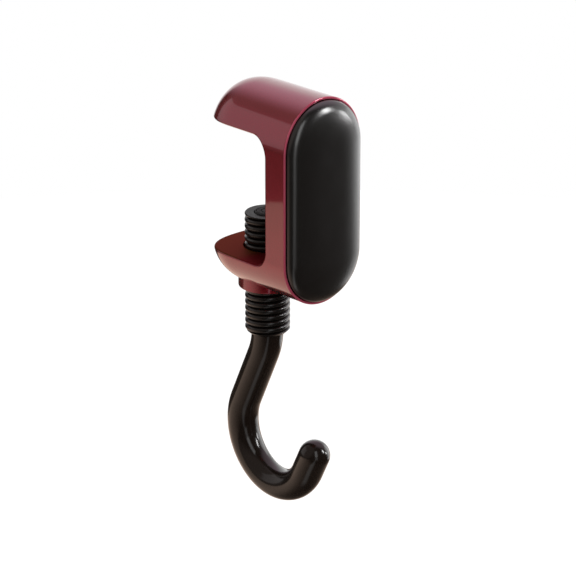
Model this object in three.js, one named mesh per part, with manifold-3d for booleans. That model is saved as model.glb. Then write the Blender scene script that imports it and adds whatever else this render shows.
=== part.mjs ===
// Table bag hook.
// A C-shaped frame goes over the edge of a table. A screw in its lower jaw presses
// on the table from below, and the rod in the screw's lower end is bent to the hook
// that carries the bag and turns the screw.
// Lengths are millimetres. +Z is up, and the front, with the black cover, is at -Y.
// The origin is where the pad under the upper arm meets the table top, on the
// screw's axis. The part is shown with the screw set for a table of gapShown.

import * as THREE from 'three';
import { mergeVertices } from 'three/addons/utils/BufferGeometryUtils.js';
import Module from 'manifold-3d';

// Frame: a stadium seen from the front, cut open from the back
const frameWidth = 36;
const frameHeight = 75;
const spineDepth = 9.9;
const armThickness = 13.4;
const jawThickness = 14.3;
const screwReach = 18.3;
const noseLength = 17.2;
const noseFullness = 2.75;
const noseEndRadius = 0.8;
const upperFillet = 7.1;
const lowerFillet = 6.2;
const rimWall = 0.8;
const rimRound = 0.35;
const recessDepth = 1.5;

// Front cover: a hollow pillow that stands in the frame's recess
const coverStraight = 0.46;
const coverEdgeRound = 4.25;
const coverCrown = 0.3;
const coverWall = 2;
const bossRadius = 3.4;

// Cover screws, countersunk into the spine from inside the mouth
const coverScrewSpacing = 24;
const coverScrewRadius = 1.5;
const coverScrewHeadRadius = 2.9;
const coverScrewLength = 10.8;
const driveWidth = 0.8;
const driveLength = 3;
const driveDepth = 0.9;

// Rubber pads on the two faces that meet the table
const padThickness = 2;
const padStand = 0.4;
const padWidth = 23;
const padFront = 9.3;
const padBack = 10.7;
const padCorner = 4;
const plugRadius = 1.8;
const plugHeight = 4.5;
const plugSpacing = 11;
const edgePadThickness = 1.6;
const edgePadStand = 0.4;
const edgePadWidth = 16;
const edgePadHeight = 32;
const edgePadCorner = 3;

// Threaded bush in the lower jaw, and the set screw that holds it
const bushFlangeRadius = 10.4;
const bushFlangeHeight = 4.6;
const bushNeckRadius = 9.6;
const bushDrop = 0.75;
const bushEdge = 0.4;
const bushMouthChamfer = 0.5;
const jawLip = 1.7;
const grubRadius = 1.5;
const grubSink = 0.7;
const grubSocketRadius = 0.8;
const grubSocketDepth = 1.6;

// Screw: right-hand thread with one start
const threadPitch = 2.38;
const threadRadius = 8.08;
const threadDepth = 1.1;
const sleeveLength = 44.9;
const sleeveTopEdge = 0.3;
const sleeveLowerEdge = 1.1;
const firstCrestDrop = 0.17;
const firstCrestDegrees = 137.3;
const gapShown = 34.1;

// Corners of the thread's section, as shares of the pitch along the screw
const rootEndShare = 0.2;
const crestStartShare = 0.4;
const crestEndShare = 0.8;

// Foot: the rubber pad that stands still while the screw turns
const footStand = 0.5;
const footPadRadius = 4.5;
const footPadHeight = 2.2;
const footPadChamfer = 0.4;
const footPadLip = 0.4;
const stemFlangeRadius = 3.5;
const stemFlangeThickness = 0.8;
const stemRadius = 2;
const stemTail = 1;
const shoulderLength = 5;
const washerThickness = 0.5;
const clipRadius = 3.6;
const clipThickness = 0.6;
const clipBite = 0.4;
const clipOpeningDegrees = 70;

// Rod: a spigot in the screw, and the hook below it
const rodRadius = 5.72;
const spigotRadius = 4.4;
const spigotClearEnd = 1;
const rodSocketDepth = 2.5;
const pinRadius = 1;
const pinLength = 13;
const pinDrop = 20.4;
const shankStraight = 1.7;
const backBendRadius = 25;
const backBendDegrees = 24.94;
const shankSlope = 22.13;
const bowlRadius = 20.4;
const bowlDegrees = 83.7;
const lipBendRadius = 17.5;
const lipBendDegrees = 95.2;
const tipStraight = 8.2;

// Clearances
const fit = 0.3;
const threadFlankFit = 0.15;
const overrun = 2;

// Steps of the round shapes
const stadiumSteps = 20;
const noseSteps = 9;
const edgeSteps = 6;
const crownSteps = 3;
const filletSteps = 8;
const turnSteps = 24;
const smallRoundSteps = 20;
const threadSteps = 20;
const rodSides = 16;
const hookSteps = 44;

// Levels worked out from the sizes
const halfWidth = frameWidth / 2;
const coreHalf = frameHeight / 2 - halfWidth;
const spineFaceY = -screwReach;
const frontY = spineFaceY - spineDepth;
const recessY = frontY + recessDepth;
const armUnderZ = padStand;
const frameTopZ = armUnderZ + armThickness;
const frameMidZ = frameTopZ - frameHeight / 2;
const frameBottomZ = frameTopZ - frameHeight;
const jawTopZ = frameBottomZ + jawThickness;
const coverRadius = halfWidth - rimWall - fit;
const coverFrontY = frontY - coverStraight - coverEdgeRound;
const edgePadBackY = spineFaceY + edgePadStand;
const edgePadSeatY = edgePadBackY - edgePadThickness;
const screwHeadY = edgePadSeatY - fit;
const screwHeadHeight = coverScrewHeadRadius - coverScrewRadius;
const bushBottomZ = frameBottomZ - bushDrop;
const bushSeatZ = bushBottomZ + bushFlangeHeight;
const bushTopZ = jawTopZ - jawLip - fit;
const grubZ = (bushTopZ + bushSeatZ) / 2;
const threadRoot = threadRadius - threadDepth;
const footTopZ = -gapShown;
const sleeveTopZ = footTopZ - footStand;
const sleeveBottomZ = sleeveTopZ - sleeveLength;
const footPadBottomZ = footTopZ - footPadHeight;
const washerBottomZ = footPadBottomZ - washerThickness;
const shoulderTopZ = washerBottomZ - fit;
const shoulderBottomZ = shoulderTopZ - shoulderLength;
const clipTopZ = shoulderBottomZ - fit;
const clipBottomZ = clipTopZ - clipThickness;
const stemBottomZ = clipBottomZ - fit - stemTail;
const spigotTopZ = stemBottomZ - spigotClearEnd;
const rodShoulderZ = sleeveBottomZ + rodSocketDepth;
const pinZ = sleeveTopZ - pinDrop;
const coverScrewLevels = [frameMidZ + coverScrewSpacing / 2, frameMidZ - coverScrewSpacing / 2];

const wasm = await Module();
wasm.setup();

const degrees = Math.PI / 180;
const part = new THREE.Group();

const paint = { color: 0x6b1c20, roughness: 0.25, metalness: 0.2 };
const glossBlack = { color: 0x141210, roughness: 0.22, metalness: 0 };
const coverBlack = { color: 0x1c1b1a, roughness: 0.35, metalness: 0 };
const rubber = { color: 0x1a1a1a, roughness: 0.85, metalness: 0 };
const zincSteel = { color: 0xb4b6b8, roughness: 0.35, metalness: 0.9 };
const nylon = { color: 0xd8d4c8, roughness: 0.55, metalness: 0 };

// Helpers

// A geometry with shared vertices and no flat triangles, its faces pointing out
function closedForm(geometry) {
  const bare = new THREE.BufferGeometry();
  bare.setAttribute('position', geometry.getAttribute('position'));
  bare.setIndex(geometry.getIndex());
  const merged = mergeVertices(bare);
  const index = merged.getIndex().array;
  const position = merged.getAttribute('position');
  const [a, b, c] = [new THREE.Vector3(), new THREE.Vector3(), new THREE.Vector3()];
  const kept = [];
  let volume = 0;
  for (let i = 0; i < index.length; i += 3) {
    const [p, q, r] = index.slice(i, i + 3);
    if (p === q || q === r || r === p) continue;
    kept.push(p, q, r);
    a.fromBufferAttribute(position, p);
    b.fromBufferAttribute(position, q);
    c.fromBufferAttribute(position, r);
    volume += a.dot(b.cross(c));
  }
  merged.setIndex(volume < 0 ? kept.reverse() : kept);
  return merged;
}

function solid(geometry) {
  const form = closedForm(geometry);
  return new wasm.Manifold(new wasm.Mesh({
    numProp: 3,
    vertProperties: new Float32Array(form.getAttribute('position').array),
    triVerts: new Uint32Array(form.getIndex().array),
  }));
}

function addPiece(name, shape, look) {
  const { vertProperties, triVerts } = shape.getMesh();
  const geometry = new THREE.BufferGeometry();
  geometry.setAttribute('position', new THREE.BufferAttribute(vertProperties, 3));
  geometry.setIndex(new THREE.BufferAttribute(triVerts, 1));
  geometry.computeVertexNormals();
  const mesh = new THREE.Mesh(geometry, new THREE.MeshStandardMaterial(look));
  mesh.name = name;
  part.add(mesh);
}

// A closed skin over a row of rings with equal numbers of points
function loft(rings) {
  const count = rings[0].length;
  const index = [];
  for (let r = 0; r + 1 < rings.length; r += 1) {
    for (let i = 0; i < count; i += 1) {
      const here = r * count + i;
      const next = r * count + (i + 1) % count;
      index.push(here, next, next + count, here, next + count, here + count);
    }
  }
  const last = (rings.length - 1) * count;
  for (let i = 1; i + 1 < count; i += 1) {
    index.push(0, i + 1, i, last, last + i, last + i + 1);
  }
  const geometry = new THREE.BufferGeometry().setFromPoints(rings.flat());
  geometry.setIndex(index);
  return geometry;
}

// A round-ended outline about the frame's middle, its ends of the radius, at a depth along Y
function stadiumRing(radius, y) {
  const ring = [];
  for (const side of [1, -1]) {
    for (let i = 0; i <= stadiumSteps; i += 1) {
      const angle = Math.PI * i / stadiumSteps;
      const x = side * radius * Math.cos(angle);
      const z = frameMidZ + side * (coreHalf + radius * Math.sin(angle));
      ring.push(new THREE.Vector3(x, y, z));
    }
  }
  return ring;
}

// A turned piece on the Z axis, from [radius, z] pairs
function turned(profile, steps = turnSteps) {
  const points = profile.map(([radius, z]) => new THREE.Vector2(radius, z));
  return solid(new THREE.LatheGeometry(points, steps).rotateX(Math.PI / 2));
}

function rod(radius, lowZ, highZ, steps = turnSteps) {
  return turned([[0, lowZ], [radius, lowZ], [radius, highZ], [0, highZ]], steps);
}

// A flat shape drawn in Y and Z, made thick along X about the middle plane
function acrossX(shape, width) {
  const geometry = new THREE.ExtrudeGeometry(shape, {
    depth: width, bevelEnabled: false, curveSegments: filletSteps,
  });
  const turn = new THREE.Matrix4().makeBasis(
    new THREE.Vector3(0, 1, 0), new THREE.Vector3(0, 0, 1), new THREE.Vector3(1, 0, 0));
  return solid(geometry.translate(0, 0, -width / 2).applyMatrix4(turn));
}

function roundedRectangle(left, right, low, high, corner) {
  const shape = new THREE.Shape();
  shape.absarc(right - corner, low + corner, corner, -Math.PI / 2, 0);
  shape.absarc(right - corner, high - corner, corner, 0, Math.PI / 2);
  shape.absarc(left + corner, high - corner, corner, Math.PI / 2, Math.PI);
  shape.absarc(left + corner, low + corner, corner, Math.PI, 1.5 * Math.PI);
  return shape;
}

function plate(shape, lowZ, highZ) {
  const geometry = new THREE.ExtrudeGeometry(shape, {
    depth: highZ - lowZ, bevelEnabled: false, curveSegments: filletSteps,
  });
  return solid(geometry.translate(0, 0, lowZ));
}

// Turns a piece made along Z so that its +Z points to +Y, then lifts it to a level
function alongY(shape, level) {
  return shape.rotate([-90, 0, 0]).translate([0, 0, level]);
}

function alongX(shape, level) {
  return shape.rotate([0, 90, 0]).translate([0, 0, level]);
}

// A thread longer than it has to be, with a pointed end beyond each level.
// grow widens it all round for the nut, and flank moves each flank along Z.
function threadBlank(lowZ, highZ, grow, flank) {
  const flankShare = flank / threadPitch;
  const section = [
    [flankShare, threadRoot + grow],
    [rootEndShare - flankShare, threadRoot + grow],
    [crestStartShare - flankShare, threadRadius + grow],
    [crestEndShare + flankShare, threadRadius + grow],
  ];
  const crestShare = (crestStartShare + crestEndShare) / 2;
  const phase = firstCrestDegrees / 360 + crestShare;
  const crestZ = sleeveTopZ - firstCrestDrop;
  const turnsBelow = Math.ceil((crestZ - lowZ) / threadPitch) + 2;
  const turnsAbove = Math.ceil((highZ - crestZ) / threadPitch) + 1;
  const baseZ = crestZ - (turnsBelow + phase) * threadPitch;
  const count = (turnsBelow + turnsAbove + 1) * threadSteps;
  const size = section.length;
  const points = [];
  for (let n = 0; n <= count; n += 1) {
    const angle = 2 * Math.PI * n / threadSteps;
    for (const [share, radius] of section) {
      const z = baseZ + threadPitch * (n / threadSteps + share);
      points.push(new THREE.Vector3(radius * Math.cos(angle), radius * Math.sin(angle), z));
    }
  }
  const bottom = points.length;
  points.push(new THREE.Vector3(0, 0, baseZ - threadPitch));
  const top = points.length;
  points.push(new THREE.Vector3(0, 0, baseZ + threadPitch * (count / threadSteps + 2)));
  const index = [];
  const quad = (a, b, c, d) => index.push(a, b, c, a, c, d);
  for (let n = 0; n < count; n += 1) {
    const here = n * size;
    for (let s = 0; s + 1 < size; s += 1) {
      quad(here + s, here + size + s, here + size + s + 1, here + s + 1);
    }
    if (n + threadSteps < count) {
      const above = here + threadSteps * size;
      quad(here + size - 1, here + 2 * size - 1, above + size, above);
    }
  }
  const firstLoop = [];
  const lastLoop = [];
  for (let n = 0; n <= threadSteps; n += 1) {
    firstLoop.push(n * size);
    lastLoop.push((count - threadSteps + n) * size + size - 1);
  }
  for (let s = size - 1; s > 0; s -= 1) firstLoop.push(s);
  for (let s = size - 2; s >= 0; s -= 1) lastLoop.push(count * size + s);
  firstLoop.forEach((point, i) => {
    index.push(bottom, firstLoop[(i + 1) % firstLoop.length], point);
  });
  lastLoop.forEach((point, i) => {
    index.push(top, point, lastLoop[(i + 1) % lastLoop.length]);
  });
  const geometry = new THREE.BufferGeometry().setFromPoints(points);
  geometry.setIndex(index);
  return solid(geometry);
}

// Frame

function frameBody() {
  const rings = [stadiumRing(halfWidth - rimRound, frontY), stadiumRing(halfWidth, frontY + rimRound)];
  for (let i = 0; i < noseSteps; i += 1) {
    const angle = Math.PI / 2 * i / noseSteps;
    const radiusShare = Math.cos(angle) ** (2 / noseFullness);
    const depthShare = Math.sin(angle) ** (2 / noseFullness);
    rings.push(stadiumRing(halfWidth * radiusShare, noseLength * depthShare));
  }
  rings.push(stadiumRing(noseEndRadius, noseLength));
  return solid(loft(rings));
}

function mouth() {
  const backY = noseLength + overrun;
  const shape = new THREE.Shape();
  shape.moveTo(backY, jawTopZ);
  shape.lineTo(backY, armUnderZ);
  shape.absarc(spineFaceY + upperFillet, armUnderZ - upperFillet, upperFillet, Math.PI / 2, Math.PI);
  shape.absarc(spineFaceY + lowerFillet, jawTopZ + lowerFillet, lowerFillet, Math.PI, 1.5 * Math.PI);
  return acrossX(shape, frameWidth + 2 * overrun);
}

function recess() {
  const wallRadius = halfWidth - rimWall;
  return solid(loft([stadiumRing(wallRadius, frontY - overrun), stadiumRing(wallRadius, recessY)]));
}

function padOutline(grow) {
  const halfPad = padWidth / 2 + grow;
  return roundedRectangle(-halfPad, halfPad, -padFront - grow, padBack + grow, padCorner + grow);
}

function plugs(radius, topZ) {
  const middleY = (padBack - padFront) / 2;
  const plug = rod(radius, armUnderZ, topZ, smallRoundSteps);
  return plug.translate([0, middleY - plugSpacing / 2, 0])
    .add(plug.translate([0, middleY + plugSpacing / 2, 0]));
}

function edgePadBlock(grow, frontFaceY, backFaceY) {
  const half = edgePadWidth / 2 + grow;
  const lowZ = frameMidZ - edgePadHeight / 2 - grow;
  const highZ = frameMidZ + edgePadHeight / 2 + grow;
  const shape = roundedRectangle(-half, half, -highZ, -lowZ, edgePadCorner + grow);
  return alongY(plate(shape, frontFaceY, backFaceY), 0);
}

function coverScrewHole() {
  const headRadius = coverScrewHeadRadius + fit;
  const shankRadius = coverScrewRadius + fit;
  return turned([
    [0, frontY], [shankRadius, frontY], [shankRadius, screwHeadY - screwHeadHeight],
    [headRadius, screwHeadY], [headRadius, edgePadSeatY + overrun], [0, edgePadSeatY + overrun],
  ], smallRoundSteps);
}

function bushHole() {
  const flangeRadius = bushFlangeRadius + fit;
  const neckRadius = bushNeckRadius + fit;
  const lipRadius = threadRadius + 2 * fit;
  const topZ = jawTopZ + overrun;
  return turned([
    [0, bushBottomZ - overrun], [flangeRadius, bushBottomZ - overrun], [flangeRadius, bushSeatZ],
    [neckRadius, bushSeatZ], [neckRadius, jawTopZ - jawLip], [lipRadius, jawTopZ - jawLip],
    [lipRadius, topZ], [0, topZ],
  ]);
}

function clampFrame() {
  const padSeatZ = padThickness;
  let shape = frameBody().subtract(mouth()).subtract(recess());
  shape = shape.subtract(plate(padOutline(fit), armUnderZ - overrun, padSeatZ));
  shape = shape.subtract(plugs(plugRadius + fit, padSeatZ + plugHeight + fit));
  shape = shape.subtract(edgePadBlock(fit, edgePadSeatY, spineFaceY + overrun));
  for (const level of coverScrewLevels) {
    shape = shape.subtract(alongY(coverScrewHole(), level));
  }
  shape = shape.subtract(bushHole());
  return shape.subtract(alongX(rod(grubRadius + fit, 0, halfWidth + overrun, smallRoundSteps), grubZ));
}

addPiece('clamp_frame', clampFrame(), paint);

// Front cover

function pillow(radius, backY, frontFaceY, edgeRound, crown) {
  const rings = [stadiumRing(radius, backY)];
  const shoulderY = frontFaceY + edgeRound;
  for (let i = 0; i <= edgeSteps; i += 1) {
    const angle = Math.PI / 2 * i / edgeSteps;
    const inset = edgeRound * (1 - Math.cos(angle));
    rings.push(stadiumRing(radius - inset, shoulderY - (edgeRound - crown) * Math.sin(angle)));
  }
  const flatRadius = radius - edgeRound;
  for (let i = 1; i <= crownSteps; i += 1) {
    const share = i / (crownSteps + 1);
    const y = frontFaceY + crown * (1 - share) ** 2;
    rings.push(stadiumRing(flatRadius * (1 - share), y));
  }
  return solid(loft(rings));
}

function frontCover() {
  const outside = pillow(coverRadius, recessY, coverFrontY, coverEdgeRound, coverCrown);
  const insideFrontY = coverFrontY + coverWall;
  const insideRound = coverEdgeRound - coverWall;
  const inside = pillow(coverRadius - coverWall, recessY + overrun, insideFrontY, insideRound, coverCrown);
  const boreEndY = screwHeadY - coverScrewLength - fit;
  let shape = outside.subtract(inside);
  for (const level of coverScrewLevels) {
    shape = shape.add(alongY(rod(bossRadius, insideFrontY - coverWall / 2, recessY, smallRoundSteps), level));
  }
  for (const level of coverScrewLevels) {
    const bore = rod(coverScrewRadius + fit, boreEndY, recessY + overrun, smallRoundSteps);
    shape = shape.subtract(alongY(bore, level));
  }
  return shape;
}

addPiece('front_cover', frontCover(), coverBlack);

function coverScrew() {
  const tipY = screwHeadY - coverScrewLength;
  const body = turned([
    [0, tipY], [coverScrewRadius / 2, tipY], [coverScrewRadius, tipY + coverScrewRadius],
    [coverScrewRadius, screwHeadY - screwHeadHeight], [coverScrewHeadRadius, screwHeadY], [0, screwHeadY],
  ], smallRoundSteps);
  const slot = new THREE.BoxGeometry(driveLength, driveWidth, 2 * driveDepth).translate(0, 0, screwHeadY);
  const cross = solid(slot).add(solid(slot.clone().rotateZ(Math.PI / 2)));
  return body.subtract(cross);
}

['cover_screw_upper', 'cover_screw_lower'].forEach((name, i) => {
  addPiece(name, alongY(coverScrew(), coverScrewLevels[i]), zincSteel);
});

// Rubber pads

addPiece('upper_grip_pad', plate(padOutline(0), 0, padThickness)
  .add(plugs(plugRadius, padThickness + plugHeight)), rubber);

addPiece('edge_pad', edgePadBlock(0, edgePadSeatY, edgePadBackY), rubber);

// Threaded bush and its set screw

function threadedBush() {
  const body = turned([
    [0, bushBottomZ], [bushFlangeRadius - bushEdge, bushBottomZ],
    [bushFlangeRadius, bushBottomZ + bushEdge], [bushFlangeRadius, bushSeatZ],
    [bushNeckRadius, bushSeatZ], [bushNeckRadius, bushTopZ], [0, bushTopZ],
  ]);
  const mouthRadius = threadRadius + fit + bushMouthChamfer;
  const mouthCone = turned([
    [0, bushBottomZ - overrun], [mouthRadius + overrun, bushBottomZ - overrun],
    [mouthRadius - bushMouthChamfer, bushBottomZ + bushMouthChamfer], [0, bushBottomZ + bushMouthChamfer],
  ]);
  return body.subtract(threadBlank(bushBottomZ, bushTopZ, fit, threadFlankFit)).subtract(mouthCone);
}

addPiece('threaded_bush', threadedBush(), paint);

// The set screw reaches from the bush to just below the jaw's rounded side
function bushGrubScrew() {
  const innerX = bushNeckRadius + fit;
  const belowArcCentre = frameMidZ - coreHalf - grubZ;
  const outerX = Math.sqrt(halfWidth ** 2 - belowArcCentre ** 2) - grubSink;
  const socket = new THREE.CylinderGeometry(grubSocketRadius, grubSocketRadius, 2 * grubSocketDepth, 6);
  const body = turned([
    [0, innerX], [grubRadius / 2, innerX], [grubRadius, innerX + grubRadius / 2],
    [grubRadius, outerX], [0, outerX],
  ], smallRoundSteps);
  return alongX(body.subtract(solid(socket.rotateX(Math.PI / 2).translate(0, 0, outerX))), grubZ);
}

addPiece('bush_grub_screw', bushGrubScrew(), zincSteel);

// Screw sleeve

function screwSleeve() {
  const outerRadius = threadRadius + overrun;
  const ends = turned([
    [0, sleeveBottomZ], [threadRadius - sleeveLowerEdge, sleeveBottomZ],
    [outerRadius, sleeveBottomZ + sleeveLowerEdge + overrun],
    [outerRadius, sleeveTopZ - sleeveTopEdge - overrun],
    [threadRadius - sleeveTopEdge, sleeveTopZ], [0, sleeveTopZ],
  ]);
  const bore = turned([
    [0, sleeveBottomZ - overrun], [rodRadius + fit, sleeveBottomZ - overrun], [rodRadius + fit, rodShoulderZ],
    [spigotRadius + fit, rodShoulderZ], [spigotRadius + fit, shoulderBottomZ],
    [stemRadius + fit, shoulderBottomZ], [stemRadius + fit, shoulderTopZ],
    [footPadRadius + fit, shoulderTopZ], [footPadRadius + fit, sleeveTopZ + overrun],
    [0, sleeveTopZ + overrun],
  ]);
  const pinHole = rod(pinRadius + fit, -threadRadius - overrun, threadRadius + overrun, smallRoundSteps);
  return threadBlank(sleeveBottomZ, sleeveTopZ, 0, 0)
    .intersect(ends).subtract(bore).subtract(alongX(pinHole, pinZ));
}

addPiece('screw_sleeve', screwSleeve(), glossBlack);

// Hook rod

// The pen draws the rod's path in the plane x = 0. It keeps the path, the point that
// it has reached and its heading. A bend of positive degrees turns a pen that heads
// down towards the back.
function addStraight(pen, length) {
  const end = pen.at.clone().addScaledVector(pen.heading, length);
  pen.path.add(new THREE.LineCurve3(pen.at.clone(), end));
  pen.at.copy(end);
}

function addBend(pen, radius, bendDegrees) {
  const axis = new THREE.Vector3(Math.sign(bendDegrees), 0, 0);
  const centre = pen.at.clone().addScaledVector(axis.clone().cross(pen.heading), radius);
  const start = pen.at.clone().sub(centre);
  const sweep = Math.abs(bendDegrees) * degrees;
  const bend = new THREE.Curve();
  bend.getPoint = (t, target = new THREE.Vector3()) => (
    target.copy(start).applyAxisAngle(axis, sweep * t).add(centre));
  pen.path.add(bend);
  pen.at.copy(start).applyAxisAngle(axis, sweep).add(centre);
  pen.heading.applyAxisAngle(axis, sweep);
}

function hookPath() {
  const pen = {
    path: new THREE.CurvePath(),
    at: new THREE.Vector3(0, 0, rodShoulderZ),
    heading: new THREE.Vector3(0, 0, -1),
  };
  addStraight(pen, shankStraight);
  addBend(pen, backBendRadius, backBendDegrees);
  addStraight(pen, shankSlope);
  addBend(pen, bowlRadius, -bowlDegrees);
  addBend(pen, lipBendRadius, -lipBendDegrees);
  addStraight(pen, tipStraight);
  return pen;
}

function hookRod() {
  const pen = hookPath();
  const circle = new THREE.Shape();
  for (let i = 0; i < rodSides; i += 1) {
    const angle = 2 * Math.PI * i / rodSides;
    const [x, y] = [rodRadius * Math.cos(angle), rodRadius * Math.sin(angle)];
    if (i === 0) circle.moveTo(x, y);
    else circle.lineTo(x, y);
  }
  const tube = new THREE.ExtrudeGeometry(circle, { steps: hookSteps, extrudePath: pen.path });
  const across = new THREE.Vector3(1, 0, 0);
  const aim = new THREE.Matrix4().makeBasis(across, pen.heading, across.clone().cross(pen.heading));
  const tip = new THREE.SphereGeometry(rodRadius, rodSides, rodSides / 2)
    .applyMatrix4(aim.setPosition(pen.at));
  const pinHole = rod(pinRadius + fit, -spigotRadius - overrun, spigotRadius + overrun, smallRoundSteps);
  return solid(tube).add(solid(tip))
    .add(rod(spigotRadius, rodShoulderZ - overrun, spigotTopZ))
    .subtract(alongX(pinHole, pinZ));
}

addPiece('hook_rod', hookRod(), glossBlack);

addPiece('sleeve_pin', alongX(rod(pinRadius, -pinLength / 2, pinLength / 2, smallRoundSteps), pinZ), zincSteel);

// Foot in the end of the screw

function footPad() {
  const pocketRadius = stemFlangeRadius + fit;
  const pocketBottomZ = footPadBottomZ + footPadLip;
  const pocketTopZ = pocketBottomZ + stemFlangeThickness + 2 * fit;
  const body = turned([
    [0, footPadBottomZ], [footPadRadius, footPadBottomZ], [footPadRadius, footTopZ - footPadChamfer],
    [footPadRadius - footPadChamfer, footTopZ], [0, footTopZ],
  ]);
  const pocket = turned([
    [0, footPadBottomZ - overrun], [stemRadius + fit, footPadBottomZ - overrun],
    [stemRadius + fit, pocketBottomZ], [pocketRadius, pocketBottomZ],
    [pocketRadius, pocketTopZ], [0, pocketTopZ],
  ], smallRoundSteps);
  return body.subtract(pocket);
}

addPiece('foot_pad', footPad(), rubber);

function footStem() {
  const flangeBottomZ = footPadBottomZ + footPadLip + fit;
  const grooveRadius = stemRadius - clipBite;
  return turned([
    [0, stemBottomZ], [stemRadius, stemBottomZ], [stemRadius, clipBottomZ - fit],
    [grooveRadius, clipBottomZ - fit], [grooveRadius, clipTopZ + fit], [stemRadius, clipTopZ + fit],
    [stemRadius, flangeBottomZ], [stemFlangeRadius, flangeBottomZ],
    [stemFlangeRadius, flangeBottomZ + stemFlangeThickness], [0, flangeBottomZ + stemFlangeThickness],
  ], smallRoundSteps);
}

addPiece('foot_stem', footStem(), zincSteel);

function openRing(innerRadius, outerRadius, openingDegrees) {
  const half = openingDegrees * degrees / 2;
  const shape = new THREE.Shape();
  shape.absarc(0, 0, outerRadius, half, 2 * Math.PI - half);
  shape.absarc(0, 0, innerRadius, 2 * Math.PI - half, half, true);
  return shape;
}

const clipInner = stemRadius - clipBite + fit;
addPiece('foot_clip', plate(openRing(clipInner, clipRadius, clipOpeningDegrees), clipBottomZ, clipTopZ), zincSteel);

addPiece('thrust_washer', turned([
  [stemRadius + fit, washerBottomZ], [footPadRadius - fit, washerBottomZ],
  [footPadRadius - fit, footPadBottomZ], [stemRadius + fit, footPadBottomZ],
  [stemRadius + fit, washerBottomZ],
], smallRoundSteps), nylon);

export default part;
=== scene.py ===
# %% [markdown]
# # A table bag hook, dressed in Blender
# The hook has two halves. A wine-red C frame with a black cover goes over the edge
# of a table. A black screw in its lower jaw presses on the table from below, and
# ends in the hook that carries the bag. The imported CAD model gives every size and
# every moving body, so this lesson only makes the surfaces that are seen: smooth
# shells over the faceted solids, and finishes with the small unevenness of real
# paint, moulded plastic and rubber.
#
# The frame comes first. Its box is kept.

import math

import bmesh
import bpy
from mathutils import Matrix, Vector


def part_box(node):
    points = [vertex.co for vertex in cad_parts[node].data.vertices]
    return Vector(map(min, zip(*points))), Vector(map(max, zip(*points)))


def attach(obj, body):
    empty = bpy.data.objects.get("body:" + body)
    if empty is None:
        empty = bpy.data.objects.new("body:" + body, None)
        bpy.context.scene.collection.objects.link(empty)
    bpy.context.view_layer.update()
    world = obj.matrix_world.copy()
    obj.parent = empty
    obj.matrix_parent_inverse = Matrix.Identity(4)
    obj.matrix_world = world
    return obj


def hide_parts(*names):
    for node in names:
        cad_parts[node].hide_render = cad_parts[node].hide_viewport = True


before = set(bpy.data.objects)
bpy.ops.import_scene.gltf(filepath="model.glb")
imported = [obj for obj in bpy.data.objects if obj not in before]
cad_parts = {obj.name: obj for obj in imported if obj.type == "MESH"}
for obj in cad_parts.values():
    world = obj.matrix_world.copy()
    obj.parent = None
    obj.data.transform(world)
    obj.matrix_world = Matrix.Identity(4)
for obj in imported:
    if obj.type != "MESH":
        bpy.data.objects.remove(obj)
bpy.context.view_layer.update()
print("CAD nodes:", len(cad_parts))

# %% [markdown]
# ## Sizes
# Blender works in metres here, and the part was drawn in millimetres, so each size
# is written in millimetres times MM. Where a CAD node ends at a level, the level is
# read from the node's box, so that both halves of the work keep together.

# %% Sizes of the frame
MM = 0.001
FIT = 0.3 * MM
SCREW_REACH = 18.3 * MM
ARM_THICKNESS = 13.4 * MM
JAW_THICKNESS = 14.3 * MM
NOSE_LENGTH = 17.2 * MM
NOSE_FULLNESS = 2.75
UPPER_FILLET = 7.1 * MM
LOWER_FILLET = 6.2 * MM
RIM_WALL = 0.8 * MM
RIM_ROUND = 0.35 * MM

frame_low, frame_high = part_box("clamp_frame")
cover_low, cover_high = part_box("front_cover")
HALF_WIDTH = frame_high.x
FRAME_MID = (frame_low.z + frame_high.z) / 2
CORE_HALF = (frame_high.z - frame_low.z) / 2 - HALF_WIDTH
FRONT_Y = frame_low.y
RECESS_Y = cover_high.y
ARM_UNDER = frame_high.z - ARM_THICKNESS
JAW_TOP = frame_low.z + JAW_THICKNESS
print("front at", round(FRONT_Y / MM, 2), "mm, jaw top at", round(JAW_TOP / MM, 2), "mm")

# %% [markdown]
# ## The camera
# The photograph was taken from the front left and a little above, with a long lens,
# so the edges of the frame hardly converge. The place and turn of the camera were
# solved from the frame's own edges. The camera is made first, because everything
# after it is judged through it.

# %% Camera
CAMERA_PLACE = (-612.7 * MM, -674.5 * MM, 286.4 * MM)
CAMERA_PITCH = math.radians(90 - 21.006)
CAMERA_HEADING = math.radians(-42.71)
LENS_LENGTH = 170.98

camera_data = bpy.data.cameras.new("camera")
camera_data.lens = LENS_LENGTH
camera = bpy.data.objects.new("camera", camera_data)
camera.location = CAMERA_PLACE
camera.rotation_euler = (CAMERA_PITCH, 0.0, CAMERA_HEADING)
bpy.context.scene.collection.objects.link(camera)
bpy.context.scene.camera = camera
print("camera distance", round(camera.location.length, 3), "m")

# %% [markdown]
# ## Hands for the bench
# The same few moves come back for every piece: let go of everything, choose faces by
# where they are, cut one shape with another, and apply what the modifiers did. Each
# move gets a short helper, so that the pieces below read like a list of steps.
# Blender's operators work on what is selected, and the loaded CAD nodes start out
# selected, so letting go comes first every time.

# %% Selecting
def let_go():
    active = bpy.context.view_layer.objects.active
    if active and active.mode == "EDIT":
        bpy.ops.object.mode_set(mode="OBJECT")
    for item in list(bpy.context.selected_objects):
        item.select_set(False)


def hold(piece):
    let_go()
    piece.select_set(True)
    bpy.context.view_layer.objects.active = piece


def edit(piece):
    hold(piece)
    bpy.ops.object.mode_set(mode="EDIT")


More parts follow.
